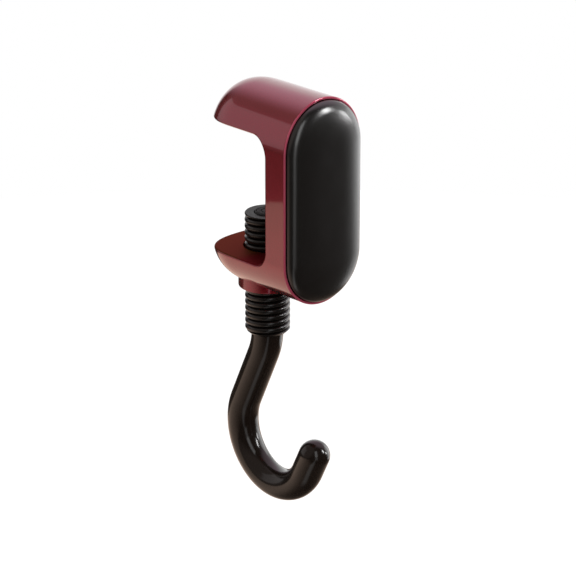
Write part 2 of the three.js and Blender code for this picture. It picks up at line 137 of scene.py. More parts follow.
def choose(piece, kind, test):
    """In edit mode, selects the vertices, edges or faces whose middle passes the test."""
    bpy.ops.mesh.select_mode(type=kind)
    bpy.ops.mesh.select_all(action="DESELECT")
    mesh = bmesh.from_edit_mesh(piece.data)
    mesh.normal_update()
    chosen = 0
    for item in {"VERT": mesh.verts, "EDGE": mesh.edges, "FACE": mesh.faces}[kind]:
        corners = [item] if kind == "VERT" else item.verts
        middle = sum((corner.co for corner in corners), Vector()) / len(corners)
        wanted = bool(test(item, middle))
        item.select_set(wanted)
        chosen += wanted
    mesh.select_flush_mode()
    bmesh.update_edit_mesh(piece.data)
    return chosen

# %% [markdown]
# Every piece is finished in the same way. Doubled points are merged, the faces are
# turned outwards, and the piece's place goes into its mesh, so that its object sits at
# the origin. Modifiers are applied at once, because the next step works on real faces.
# The exact solver does the cutting, since many faces here lie in one plane. Smooth
# shading comes last, with weighted normals that keep large faces flat.

# %% Finishing and cutting
MERGE = 0.001 * MM


def settle(piece):
    """Merges doubles, turns the faces outwards and leaves the piece's place in its mesh."""
    edit(piece)
    bpy.ops.mesh.select_all(action="SELECT")
    bpy.ops.mesh.remove_doubles(threshold=MERGE)
    bpy.ops.mesh.normals_make_consistent(inside=False)
    hold(piece)
    bpy.ops.object.transform_apply(location=True, rotation=True, scale=True)


def apply_modifier(piece, kind, **settings):
    hold(piece)
    modifier = piece.modifiers.new(kind.lower(), kind)
    for name, value in settings.items():
        setattr(modifier, name, value)
    bpy.ops.object.modifier_apply(modifier=modifier.name)


def cut(piece, cutter, operation="DIFFERENCE"):
    settle(cutter)
    apply_modifier(piece, "BOOLEAN", object=cutter, operation=operation, solver="EXACT")
    bpy.data.objects.remove(cutter)


def bevel(piece, width, segments, test):
    edit(piece)
    choose(piece, "EDGE", test)
    bpy.ops.mesh.bevel(offset=width, offset_type="OFFSET", segments=segments, affect="EDGES")
    let_go()


def soften(piece, degrees=35):
    """Smooth shading up to the angle, with large faces keeping their flatness."""
    hold(piece)
    bpy.ops.object.shade_smooth_by_angle(angle=math.radians(degrees))
    apply_modifier(piece, "WEIGHTED_NORMAL", keep_sharp=True)


def dress(piece, body, slot, material, *replaced):
    """Gives a finished piece its material, puts it on its body and hides the CAD nodes that it replaces."""
    piece.data.materials.clear()
    piece.data.materials.append(material)
    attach(piece, body)
    if replaced:
        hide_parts(*replaced)
    print(piece.name, len(piece.data.polygons), "faces, on", body)

# %% [markdown]
# Most of this object is round: rods, bores, the bush, the foot. A turned piece can be
# grown from one filled circle, by extruding it along its axis and scaling each new
# ring, which reads like a lathe profile from end to end. The frame and the cover are
# the same thing pulled apart: a round bullet whose upper and lower halves are moved
# away from each other has their long, round-ended outline.

# %% Rings grown from a circle
ROUND_SIDES = 96
AXES = {"X": Vector((1, 0, 0)), "Y": Vector((0, 1, 0)), "Z": Vector((0, 0, 1))}
TURNS = {"X": (0, math.pi / 2, 0), "Y": (-math.pi / 2, 0, 0), "Z": (0, 0, 0)}


def grow_rings(name, rings, along="Z", middle=(0, 0, 0), sides=ROUND_SIDES):
    """A closed round piece through (radius, level) rings, in order along one axis."""
    axis, middle = AXES[along], Vector(middle)
    radius, level = rings[0]
    let_go()
    bpy.ops.mesh.primitive_circle_add(
        vertices=sides, radius=radius, fill_type="NGON",
        location=middle + axis * level, rotation=TURNS[along])
    piece = bpy.context.object
    piece.name = piece.data.name = name
    bpy.ops.object.transform_apply(location=True, rotation=True, scale=True)
    edit(piece)
    bpy.ops.mesh.select_all(action="SELECT")
    half_step = math.pi / sides
    bpy.ops.transform.rotate(value=half_step, orient_axis=along, center_override=middle)
    for next_radius, next_level in rings[1:]:
        step = axis * (next_level - level)
        bpy.ops.mesh.extrude_region_move(TRANSFORM_OT_translate={"value": step})
        scale = [1.0 if part else next_radius / radius for part in axis]
        bpy.ops.transform.resize(value=scale, center_override=middle + axis * next_level)
        radius, level = next_radius, next_level
    settle(piece)
    return piece


def pull_apart(piece, middle, distance):
    """Moves the upper and the lower half away from each other."""
    for side in (1, -1):
        edit(piece)
        choose(piece, "VERT", lambda item, place: (place.z - middle) * side > 0)
        bpy.ops.transform.translate(value=(0, 0, side * distance))
    let_go()


def rounded_edge(radius, level, bite, steps, toward):
    """Rings over a rounded rim, from the drawn-in end to the full radius."""
    rings = []
    for i in range(steps + 1):
        angle = math.pi / 2 * i / steps
        drawn_in = radius - bite * (1 - math.sin(angle))
        rings.append((drawn_in, level + toward * bite * (1 - math.cos(angle))))
    return rings


def block(name, low, high):
    let_go()
    low, high = Vector(low), Vector(high)
    bpy.ops.mesh.primitive_cube_add(size=1.0, location=(low + high) / 2, scale=high - low)
    piece = bpy.context.object
    piece.name = piece.data.name = name
    bpy.ops.object.transform_apply(location=True, rotation=True, scale=True)
    return piece

# %% [markdown]
# ## Finishes
# A finish is a shader whose colour, roughness and surface are all a little uneven. The
# bench below keeps the wiring of the nodes out of the way. Each of its moves adds one
# node, sets or links its inputs and returns its output, so that a finish reads like a
# sum. The same bench serves for the floor and the world at the end.

# %% A bench for nodes
class Bench:
    """A node tree in the making. Each move adds a node and returns its output."""

    def __init__(self, tree):
        self.nodes = tree.nodes
        self.links = tree.links

    def give(self, node, values):
        for key, value in values.items():
            if isinstance(value, bpy.types.NodeSocket):
                self.links.new(value, node.inputs[key])
            else:
                node.inputs[key].default_value = value

    def node(self, kind, values, **settings):
        node = self.nodes.new("ShaderNode" + kind)
        for key, value in settings.items():
            setattr(node, key, value)
        self.give(node, values)
        return node

    def compute(self, operation, *terms):
        return self.node("Math", dict(enumerate(terms)), operation=operation).outputs[0]

    def times(self, first, second):
        return self.compute("MULTIPLY", first, second)

    def along(self, place, direction):
        """How far a place lies along a direction."""
        return self.node("VectorMath", {0: place, 1: direction}, operation="DOT_PRODUCT").outputs["Value"]

    def distance(self, place):
        """How far a place is from the origin."""
        return self.node("VectorMath", {0: place}, operation="LENGTH").outputs["Value"]

    def part(self, place, axis):
        """One of the three numbers of a place or a direction."""
        return self.node("SeparateXYZ", {0: place}).outputs[axis]

    def between(self, value, low, high, start=0.3, stop=0.7):
        """Goes softly from low to high while the value goes from start to stop."""
        values = {"Value": value, "From Min": start, "From Max": stop, "To Min": low, "To Max": high}
        return self.node("MapRange", values, interpolation_type="SMOOTHSTEP").outputs[0]

    def blend(self, share, first, second):
        """Two colours mixed by a share from 0 to 1. A colour is three numbers or another blend."""
        ends = [(*colour, 1) if isinstance(colour, tuple) else colour for colour in (first, second)]
        return self.node("Mix", {0: share, 6: ends[0], 7: ends[1]}, data_type="RGBA").outputs[2]

    def mix(self, share, first, second):
        """Two shaders mixed by a share from 0 to 1."""
        return self.node("MixShader", {0: share, 1: first, 2: second}).outputs[0]

    def add(self, first, second):
        """The light of two shaders together."""
        return self.node("AddShader", {0: first, 1: second}).outputs[0]


# %% [markdown]
# A finish starts from the Principled shader. It reads the place on the piece in metres,
# so a blot of noise has a real size, and so has the height of a bump.

# %% A finish
class Finish(Bench):
    """A material in the making."""

    def __init__(self, name, **values):
        self.material = bpy.data.materials.new(name)
        self.material.use_nodes = True
        super().__init__(self.material.node_tree)
        self.shader = self.nodes["Principled BSDF"]
        where = self.node("TexCoord", {}).outputs
        self.place, self.facing = where["Object"], where["Normal"]
        self.set(**values)

    def noise(self, size, seed=0.0, detail=3.0, stretch=(1.0, 1.0, 1.0)):
        """Soft noise between 0 and 1, with blots of about the size, longer where stretch is low."""
        spots = self.node("Mapping", {"Vector": self.place, "Scale": stretch}).outputs[0]
        values = {"Vector": spots, "W": seed, "Scale": 1 / size, "Detail": detail}
        return self.node("TexNoise", values, noise_dimensions="4D").outputs[0]

    def bump(self, height, depth):
        return self.node("Bump", {"Height": height, "Distance": depth}).outputs[0]

    def set(self, **values):
        self.give(self.shader, {key.replace("_", " "): value for key, value in values.items()})
        return self.material


# %% [markdown]
# The wine-red paint has two layers. The lower one is a deep red with a fine pink
# flake, which is what warms the reflections on the arm's side. The clear coat over it
# is very glossy, with a trace of the orange peel of sprayed paint and a few hairline
# scratches. The front rim is painted paler and pinker, as a painted highlight on its
# rounded edge, and a band of depth behind the front face picks it out.
#
# The spray hardly reaches the upward faces of the jaw inside the mouth, so the paint
# there is thin, rougher and less glossy. Its colour there is painted reflection and
# shade: a brown painted reflection towards the open end, and a darker red painted shade
# beside the spine, where the screw stands. The place is found by its height and by the
# way its surface faces.

# %% Wine paint
WINE = (0.110, 0.0070, 0.0066)
WINE_DEEP = (0.099, 0.0062, 0.0058)
FLAKE_TINT = (1.0, 0.02, 0.19, 1)
PATCH_SIZE = 9 * MM
FLAKE_SIZE = 0.12 * MM
FLAKE_HEIGHT = 0.004 * MM
PEEL_SIZE = 1.6 * MM
PEEL_HEIGHT = 0.001 * MM
HAIRLINE_SIZE = 0.5 * MM
# The rim's pink is a painted highlight on its rounded front edge.
RIM_PAINTED_HIGHLIGHT = (0.33, 0.055, 0.088)
RIM_DEPTH = 0.30 * MM
# Painted reflection and shade on the jaw top: brown for a reflection, dark red for the screw's shade.
PAINTED_BROWN_REFLECTION = (0.078, 0.036, 0.004)
PAINTED_SCREW_SHADE = (0.090, 0.007, 0.004)
DRY_ROUGHNESS = 0.6
DRY_METAL = 0.75
PAINT_METAL = 0.15
DRY_FADE = 3 * MM
RED_UP_TO = -7 * MM
BROWN_FROM = -1 * MM

paint = Finish("wine_paint", Specular_IOR_Level=0.9, Specular_Tint=FLAKE_TINT,
               Coat_IOR=1.6, Coat_Roughness=0.03, IOR=1.7)
depth = paint.part(paint.place, "Y")
at_rim = paint.between(depth, 1.0, 0.0, FRONT_Y + RIM_DEPTH / 2, FRONT_Y + RIM_DEPTH)
above_jaw = paint.between(paint.part(paint.place, "Z"), 0.0, 1.0, JAW_TOP, JAW_TOP + DRY_FADE)
off_top = paint.between(paint.part(paint.facing, "Z"), 1.0, 0.0, 0.3, 0.8)
coated = paint.compute("MAXIMUM", above_jaw, off_top)
# This share carries the jaw top's painted reflection and shade, and its rougher, thinner coat.
dry_with_painted_shade = paint.between(coated, 1.0, 0.0, 0.0, 1.0)
patches = paint.noise(PATCH_SIZE, seed=1.0)
hairlines = paint.noise(HAIRLINE_SIZE, seed=4.0, stretch=(0.15, 1.0, 1.0))
wet_colour = paint.blend(patches, WINE_DEEP, WINE)
painted_shade_and_reflection = paint.blend(paint.between(depth, 0.0, 1.0, RED_UP_TO, BROWN_FROM), PAINTED_SCREW_SHADE, PAINTED_BROWN_REFLECTION)
wine_paint = paint.set(
    Base_Color=paint.blend(at_rim, paint.blend(dry_with_painted_shade, wet_colour, painted_shade_and_reflection), RIM_PAINTED_HIGHLIGHT),
    Roughness=paint.compute("MAXIMUM", paint.between(patches, 0.17, 0.23), paint.times(dry_with_painted_shade, DRY_ROUGHNESS)),
    Metallic=paint.between(coated, DRY_METAL, PAINT_METAL, 0.0, 1.0),
    Normal=paint.bump(paint.noise(FLAKE_SIZE, seed=2.0, detail=1.0), FLAKE_HEIGHT),
    Coat_Weight=paint.times(coated, paint.between(hairlines, 1.0, 0.85, 0.55, 0.75)),
    Coat_Normal=paint.bump(paint.noise(PEEL_SIZE, seed=3.0, detail=1.5), PEEL_HEIGHT))
print("paint nodes", len(paint.nodes))

# %% [markdown]
# The cover is moulded in black and polished to a satin gloss. Fingers leave it a
# little uneven, and there is always some dust in its grain. Its index of refraction is
# set high, because a polished cover mirrors more than bare plastic does.

# %% Cover black
COVER_BLACK = (0.0050, 0.0042, 0.0038)
DUST_GREY = (0.08, 0.075, 0.07)
SMUDGE_SIZE = 7 * MM
DUST_SIZE = 0.4 * MM
GRAIN_SIZE = 0.25 * MM
GRAIN_HEIGHT = 0.0015 * MM

cover = Finish("cover_black", IOR=1.75)
dust = cover.between(cover.noise(DUST_SIZE, seed=7.0, detail=1.0), 0.0, 0.12, 0.68, 0.76)
cover_black = cover.set(
    Base_Color=cover.blend(dust, COVER_BLACK, DUST_GREY),
    Roughness=cover.between(cover.noise(SMUDGE_SIZE, seed=5.0, detail=4.0), 0.225, 0.25),
    Normal=cover.bump(cover.noise(GRAIN_SIZE, seed=6.0), GRAIN_HEIGHT))
print("cover nodes", len(cover.nodes))

# %% [markdown]
# The hook is steel with a thick black gloss coat, a little brown in strong light. All
# its shine is the coat's, so the layer below gets next to none, or each reflection
# would come out double. The coat is scuffed where straps hang, and it swells softly
# where it ran while it dried.

# %% Rod black
ROD_BLACK = (0.0062, 0.0038, 0.0027)
ROD_BROWN = (0.0078, 0.0048, 0.0034)
CLOUD_SIZE = 5 * MM
SWELL_SIZE = 4 * MM
SWELL_HEIGHT = 0.0015 * MM
SCUFF_SIZE = 0.6 * MM

coat = Finish("rod_black", Specular_IOR_Level=0.1, Coat_IOR=1.4, Coat_Roughness=0.15)
scuffs = coat.noise(SCUFF_SIZE, seed=8.0, detail=4.0, stretch=(0.3, 1.0, 1.0))
rod_black = coat.set(
    Base_Color=coat.blend(coat.noise(CLOUD_SIZE, seed=9.0), ROD_BLACK, ROD_BROWN),
    Roughness=coat.between(coat.noise(SWELL_SIZE, seed=10.0), 0.12, 0.18),
    Coat_Weight=coat.between(scuffs, 0.82, 0.92, 0.45, 0.7),
    Coat_Normal=coat.bump(coat.noise(SWELL_SIZE, seed=11.0, detail=0.0), SWELL_HEIGHT))
print("rod nodes", len(coat.nodes))

# %% [markdown]
# The screw is moulded in the same black. The bush rubs its crests to a shine, while
# dust and dry oil keep the grooves dull, so the weight of the gloss follows the
# distance from the axis. The upper end was turned and never polished.

# %% Screw black
SCREW_BLACK = (0.0026, 0.0018, 0.0014)
SCREW_BROWN = (0.0036, 0.0025, 0.0019)
CREST = 8.0 * MM
GROOVE = 7.3 * MM
END_FACE = -34.75 * MM
END_FADE = 0.1 * MM
OIL_SIZE = 3 * MM
WEAR_SIZE = 0.8 * MM
SAND_SIZE = 0.3 * MM
SAND_HEIGHT = 0.0005 * MM

moulded = Finish("screw_black", Specular_IOR_Level=0.1, Coat_IOR=1.5, Coat_Roughness=0.27)
across = moulded.node("VectorMath", {0: moulded.place, 1: (1, 1, 0)}, operation="MULTIPLY").outputs[0]
polish = moulded.between(moulded.distance(across), 0.25, 0.9, GROOVE, CREST)
below_end = moulded.between(moulded.part(moulded.place, "Z"), 1.0, 0.06, END_FACE, END_FACE + END_FADE)
wear = moulded.noise(WEAR_SIZE, seed=13.0, stretch=(1.0, 1.0, 3.0))
screw_black = moulded.set(
    Base_Color=moulded.blend(moulded.noise(OIL_SIZE, seed=12.0), SCREW_BLACK, SCREW_BROWN),
    Roughness=moulded.between(wear, 0.24, 0.36),
    Coat_Weight=moulded.times(polish, below_end),
    Normal=moulded.bump(moulded.noise(SAND_SIZE, seed=15.0), SAND_HEIGHT))
print("screw nodes", len(moulded.nodes))

# %% [markdown]
# What the photograph doesn't show is plain hardware: soft rubber with a dusty grain,
# zinc plate with fine turning marks, and a washer of natural nylon. Turning marks are
# noise that is squeezed along one axis.

# %% Rubber, zinc and nylon
RUBBER_BLACK = (0.014, 0.014, 0.014)
RUBBER_DUSTY = (0.032, 0.031, 0.029)
ZINC_COOL = (0.50, 0.51, 0.53)
ZINC_WARM = (0.62, 0.61, 0.57)
NYLON_DEEP = (0.62, 0.58, 0.47)
NYLON_PALE = (0.70, 0.67, 0.57)
NYLON_GLOW = 0.5 * MM

skin = Finish("grip_rubber", Specular_IOR_Level=0.35)
rubber = skin.set(
    Base_Color=skin.blend(skin.noise(1.2 * MM, seed=16.0, detail=5.0), RUBBER_BLACK, RUBBER_DUSTY),
    Roughness=skin.between(skin.noise(0.9 * MM, seed=17.0), 0.62, 0.85),
    Normal=skin.bump(skin.noise(0.18 * MM, seed=18.0, detail=5.0), 0.02 * MM))

plate = Finish("zinc_steel", Metallic=1.0)
zinc = plate.set(
    Base_Color=plate.blend(plate.noise(1.4 * MM, seed=19.0), ZINC_COOL, ZINC_WARM),
    Roughness=plate.between(plate.noise(0.5 * MM, seed=20.0, stretch=(1.0, 1.0, 4.0)), 0.24, 0.42),
    Normal=plate.bump(plate.noise(0.12 * MM, seed=21.0, stretch=(1.0, 1.0, 5.0)), 0.003 * MM))

pale = Finish("pale_nylon", Subsurface_Weight=0.15, Subsurface_Scale=NYLON_GLOW)
nylon = pale.set(
    Base_Color=pale.blend(pale.noise(2 * MM, seed=22.0), NYLON_DEEP, NYLON_PALE),
    Roughness=pale.between(pale.noise(0.6 * MM, seed=23.0), 0.42, 0.6),
    Normal=pale.bump(pale.noise(0.2 * MM, seed=24.0), 0.004 * MM))
print("hardware finishes:", rubber.name, zinc.name, nylon.name)

# %% [markdown]
# ## The frame
# The real frame is one moulding, painted wine red. From the front it is a stadium,
# and both arms end in a full, soft nose. The outline is grown as rings: a small
# round at the front rim, a long straight stretch, then the nose, whose rings shrink
# by a superellipse, so that it stays full almost to its end.

# %% Frame outline
NOSE_RINGS = 26
STRAIGHT_SHARES = (0.75, 0.5, 0.25, 0.0)

frame_rings = rounded_edge(HALF_WIDTH, FRONT_Y, RIM_ROUND, steps=5, toward=1)
for share in STRAIGHT_SHARES:
    frame_rings.append((HALF_WIDTH, (FRONT_Y + RIM_ROUND) * share))
for i in range(1, NOSE_RINGS):
    angle = math.pi / 2 * i / NOSE_RINGS
    radius = HALF_WIDTH * math.cos(angle) ** (2 / NOSE_FULLNESS)
    frame_rings.append((radius, NOSE_LENGTH * math.sin(angle) ** (2 / NOSE_FULLNESS)))
clamp_shell = grow_rings("clamp_shell", frame_rings, along="Y", middle=(0, 0, FRAME_MID))
pull_apart(clamp_shell, FRAME_MID, CORE_HALF)
print("frame outline", len(clamp_shell.data.polygons), "faces")

# %% [markdown]
# The cover stands in a shallow recess. The front face is inset by the thickness of
# the rim, and the inner face is pushed back.

# %% Recess
edit(clamp_shell)
choose(clamp_shell, "FACE", lambda face, place: face.normal.y < -0.9 and place.y < FRONT_Y + MERGE)
bpy.ops.mesh.inset(thickness=RIM_WALL - RIM_ROUND, use_even_offset=True)
bpy.ops.mesh.extrude_region_move(TRANSFORM_OT_translate={"value": (0, RECESS_Y - FRONT_Y, 0)})
settle(clamp_shell)
print("frame with its recess", len(clamp_shell.data.polygons), "faces")

# %% [markdown]
# The mouth takes the edge of the table. A painted moulding has no knife edge, so the
# cutter is drawn a little too large, and the faces that it leaves are inset in small
# steps that also lift them. The steps follow a quarter circle, so the mouth ends up
# at its true size with a soft round along every edge, also around the noses.

# %% Mouth
PAST = 2.0 * MM
CUT_ROUND = 0.7 * MM
CUT_ROUND_STEPS = 5
FILLET_STEPS = 20

mouth = block("mouth", (-HALF_WIDTH - PAST, -SCREW_REACH - CUT_ROUND, JAW_TOP - CUT_ROUND),
              (HALF_WIDTH + PAST, NOSE_LENGTH + PAST, ARM_UNDER + CUT_ROUND))
for side, level, fillet in ((1, ARM_UNDER, UPPER_FILLET), (-1, JAW_TOP, LOWER_FILLET)):
    bevel(mouth, fillet + CUT_ROUND, FILLET_STEPS, lambda edge, place: place.y < -SCREW_REACH
          and abs(place.z - level - side * CUT_ROUND) < MERGE)
cut(clamp_shell, mouth)


def in_mouth(face, place):
    deep = place.y > -SCREW_REACH - CUT_ROUND - MERGE
    inside = JAW_TOP - CUT_ROUND - MERGE < place.z < ARM_UNDER + CUT_ROUND + MERGE
    return deep and inside and abs(face.normal.x) < 0.5


edit(clamp_shell)
found = choose(clamp_shell, "FACE", in_mouth)
for i in range(CUT_ROUND_STEPS):
    before, after = (math.pi / 2 * (i + k) / CUT_ROUND_STEPS for k in (0, 1))
    bpy.ops.mesh.inset(thickness=CUT_ROUND * (math.cos(before) - math.cos(after)),
                       depth=CUT_ROUND * (math.sin(after) - math.sin(before)), use_even_offset=True)
settle(clamp_shell)
print("frame with its mouth", len(clamp_shell.data.polygons), "faces,", found, "faces lifted")

# %% [markdown]
# Under the jaw a stepped hole takes the threaded bush, and leaves a lip at the top
# that keeps the bush from pushing through. A small hole from the side holds the set
# screw. Two screws go through the spine into the cover, and the rubber pads lie in
# shallow beds. Where a piece ends is read from its CAD node, and the steps between its
# ends are given here.

# %% Sizes of the holes
BUSH_FLANGE_HEIGHT = 4.6 * MM
BUSH_NECK_RADIUS = 9.6 * MM
JAW_LIP = 1.7 * MM
GRUB_RADIUS = 1.5 * MM
PAD_THICKNESS = 2.0 * MM
PAD_CORNER = 4.0 * MM
EDGE_PAD_CORNER = 3.0 * MM
PLUG_RADIUS = 1.8 * MM
PLUG_SPACING = 11.0 * MM
SCREW_RADIUS = 1.5 * MM
SCREW_HEAD_RADIUS = 2.9 * MM

bush_low, bush_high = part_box("threaded_bush")
grub_low, grub_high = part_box("bush_grub_screw")
pad_low, pad_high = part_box("upper_grip_pad")
edge_low, edge_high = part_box("edge_pad")
sleeve_low, sleeve_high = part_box("screw_sleeve")
BUSH_SEAT = bush_low.z + BUSH_FLANGE_HEIGHT
GRUB_LEVEL = (grub_low.z + grub_high.z) / 2
THREAD_RADIUS = sleeve_high.x
print("bush seat at", round(BUSH_SEAT / MM, 2), "mm, set screw at", round(GRUB_LEVEL / MM, 2), "mm")

# %% [markdown]
# The beds are a little larger than the pads, so that the rubber drops in. They are
# blocks with four rounded corners, the same blocks that the pads are made from later.
# The grip pad also has two plugs on its back, which are pressed into two blind holes.

# %% Beds for the pads
CORNER_STEPS = 10
HOLE_SIDES = 32


def rounded_block(name, low, high, corner, axis):
    """A block whose four edges along the axis are rounded."""
    piece = block(name, low, high)
    along = "XYZ".index(axis)
    bevel(piece, corner, CORNER_STEPS,
          lambda edge, place: abs((edge.verts[0].co - edge.verts[1].co)[along]) > MERGE)
    return piece


def drill(piece, radius, start, end, along="Z", middle=(0, 0, 0)):
    """Cuts a straight round hole out of the piece."""
    cut(piece, grow_rings("drill", [(radius, start), (radius, end)], along, middle, HOLE_SIDES))


def plug_places():
    middle = (pad_low.y + pad_high.y) / 2
    return [(0, middle - PLUG_SPACING / 2, 0), (0, middle + PLUG_SPACING / 2, 0)]


room = Vector((FIT, FIT, 0))
cut(clamp_shell, rounded_block(
    "pad_bed", pad_low - room + Vector((0, 0, ARM_UNDER - PAST)),
    (pad_high.x + FIT, pad_high.y + FIT, PAD_THICKNESS), PAD_CORNER, "Z"))
for place in plug_places():
    drill(clamp_shell, PLUG_RADIUS + FIT, ARM_UNDER, pad_high.z + FIT, middle=place)
cut(clamp_shell, rounded_block(
    "edge_bed", (edge_low.x - FIT, edge_low.y, edge_low.z - FIT),
    (edge_high.x + FIT, edge_high.y + PAST, edge_high.z + FIT), EDGE_PAD_CORNER, "Y"))
print("frame with its beds", len(clamp_shell.data.polygons), "faces")

# %% [markdown]
# The cover's screws are countersunk, so their holes open in a cone. The bush's hole is
# stepped like the bush itself: wide for its flange, narrower for its neck, and just
# wide enough for the thread through the lip. Then the frame gets its paint.

# %% Holes in the frame
for name in ("cover_screw_upper", "cover_screw_lower"):
    low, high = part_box(name)
    step = SCREW_HEAD_RADIUS - SCREW_RADIUS
    rings = [(SCREW_RADIUS + FIT, RECESS_Y - PAST), (SCREW_RADIUS + FIT, high.y - step),
             (SCREW_HEAD_RADIUS + FIT, high.y), (SCREW_HEAD_RADIUS + FIT, edge_low.y + PAST)]
    middle = (0, 0, (low.z + high.z) / 2)
    cut(clamp_shell, grow_rings("screw_bed", rings, along="Y", middle=middle, sides=HOLE_SIDES))
rings = [(bush_high.x + FIT, bush_low.z - PAST), (bush_high.x + FIT, BUSH_SEAT),
         (BUSH_NECK_RADIUS + FIT, BUSH_SEAT), (BUSH_NECK_RADIUS + FIT, JAW_TOP - JAW_LIP),
         (THREAD_RADIUS + 2 * FIT, JAW_TOP - JAW_LIP), (THREAD_RADIUS + 2 * FIT, JAW_TOP + PAST)]
cut(clamp_shell, grow_rings("bush_bed", rings))
drill(clamp_shell, GRUB_RADIUS + FIT, 0, HALF_WIDTH + PAST, "X", (0, 0, GRUB_LEVEL))
soften(clamp_shell)
dress(clamp_shell, "clamp", "wine_paint", wine_paint, "clamp_frame")

# %% [markdown]
# ## The front cover
# The cover is a glossy black pillow. Its edge rounds over a quarter of an ellipse, all
# but the few degrees that the crowned face still has, so that the reflections run on
# from the edge into the face without a kink.

# %% Cover
COVER_EDGE_WIDTH = 6.2 * MM
COVER_EDGE_DEPTH = 3.75 * MM
COVER_CROWN = 0.75 * MM
CROWN_POWER = 3
COVER_WALL = 2.0 * MM
COVER_EDGE_RINGS = 18
COVER_FACE_RINGS = 16
TRIES = 4


def pillow_rings(radius, back, front, wide, deep, crown):
    """Rings of a pillow: a straight wall, a quarter of an ellipse and a crowned face."""
    shoulder = front + crown + deep
    turn = math.pi / 2
    # The edge has to end where it is as steep as the crown. A few tries find the angle.
    for _ in range(TRIES):
        flat = radius - wide * (1 - math.cos(turn))
        rise = crown + deep * (1 - math.sin(turn))
        turn = math.atan2(deep * flat, wide * CROWN_POWER * rise)
    rings = [(radius, back), (radius, (back + shoulder) / 2)]
    for i in range(COVER_EDGE_RINGS + 1):
        angle = turn * i / COVER_EDGE_RINGS
        rings.append((radius - wide * (1 - math.cos(angle)), shoulder - deep * math.sin(angle)))
    flat, rise = rings[-1][0], rings[-1][1] - front
    for i in range(1, COVER_FACE_RINGS):
        share = 1 - i / COVER_FACE_RINGS
        rings.append((flat * share, front + rise * share ** CROWN_POWER))
    return rings


cover_shell = grow_rings("cover_shell", along="Y", middle=(0, 0, FRAME_MID), rings=pillow_rings(
    cover_high.x, RECESS_Y, cover_low.y, COVER_EDGE_WIDTH, COVER_EDGE_DEPTH, COVER_CROWN))
pull_apart(cover_shell, FRAME_MID, CORE_HALF)
hollow = grow_rings("hollow", along="Y", middle=(0, 0, FRAME_MID), rings=pillow_rings(
    cover_high.x - COVER_WALL, RECESS_Y + PAST, cover_low.y + COVER_WALL,
    COVER_EDGE_WIDTH - COVER_WALL, COVER_EDGE_DEPTH - COVER_WALL, COVER_CROWN))
pull_apart(hollow, FRAME_MID, CORE_HALF)
cut(cover_shell, hollow)
soften(cover_shell)
dress(cover_shell, "clamp", "cover_black", cover_black, "front_cover")

# %% [markdown]
# ## The threaded bush
# The round boss under the jaw is a separate metal bush with a flange. It is painted
# together with the frame, so that only a dark seam shows between the two. The bore for
# the thread has a chamfer at its mouth.

# %% Bush
BUSH_EDGE = 0.4 * MM
MOUTH_CHAMFER = 0.5 * MM

rings = rounded_edge(bush_high.x, bush_low.z, BUSH_EDGE, steps=4, toward=1)
rings += [(bush_high.x, BUSH_SEAT), (BUSH_NECK_RADIUS, BUSH_SEAT), (BUSH_NECK_RADIUS, bush_high.z)]
bush_shell = grow_rings("bush_shell", rings)
bore = THREAD_RADIUS + FIT
rings = [(bore + MOUTH_CHAMFER + PAST, bush_low.z - PAST), (bore, bush_low.z + MOUTH_CHAMFER),
         (bore, bush_high.z + PAST)]
cut(bush_shell, grow_rings("bore", rings))
soften(bush_shell)
dress(bush_shell, "clamp", "wine_paint", wine_paint, "threaded_bush")

# %% [markdown]
# The bush can't turn in the jaw, because a small set screw from the side presses on
# its neck. The set screw has a cup point and a hexagon socket.

# %% Set screw
GRUB_EDGE = 0.25 * MM
GRUB_POINT = 0.75 * MM
GRUB_SIDES = 48
SOCKET_RADIUS = 0.87 * MM
SOCKET_DEPTH = 1.6 * MM
SOCKET_SIDES = 6

middle = (0, 0, GRUB_LEVEL)
rings = [(GRUB_RADIUS - GRUB_POINT, grub_low.x), (GRUB_RADIUS, grub_low.x + GRUB_POINT),
         (GRUB_RADIUS, grub_high.x - GRUB_EDGE), (GRUB_RADIUS - GRUB_EDGE, grub_high.x)]
grub_shell = grow_rings("grub_shell", rings, along="X", middle=middle, sides=GRUB_SIDES)
rings = [(SOCKET_RADIUS, grub_high.x - SOCKET_DEPTH), (SOCKET_RADIUS, grub_high.x + PAST)]
cut(grub_shell, grow_rings("socket", rings, along="X", middle=middle, sides=SOCKET_SIDES))
soften(grub_shell)
dress(grub_shell, "clamp", "zinc_steel", zinc, "bush_grub_screw")

# %% [markdown]
# ## The screw
# The screw has a coarse right-hand thread with rounded crests and narrow grooves. One
# turn of its profile is drawn as a line of points, and a screw modifier winds it
# upwards. It is wound from below the screw's end to above it, then both ends are cut
# flat and filled, so that the thread runs out as it does on a real one.

# %% Thread
THREAD_PITCH = 2.38 * MM
THREAD_DEPTH = 1.1 * MM
GROOVE_NARROWNESS = 3.2
PROFILE_STEPS = 18
TURN_STEPS = 96
SPARE_TURNS = 4
FIRST_CREST_DROP = 0.17 * MM
FIRST_CREST_ANGLE = math.radians(137.3)


def groove(share):
    """How deep the thread's groove is, from 0 on the crest to 1 in the middle of the groove."""
    return abs(2 * share - 1) ** GROOVE_NARROWNESS


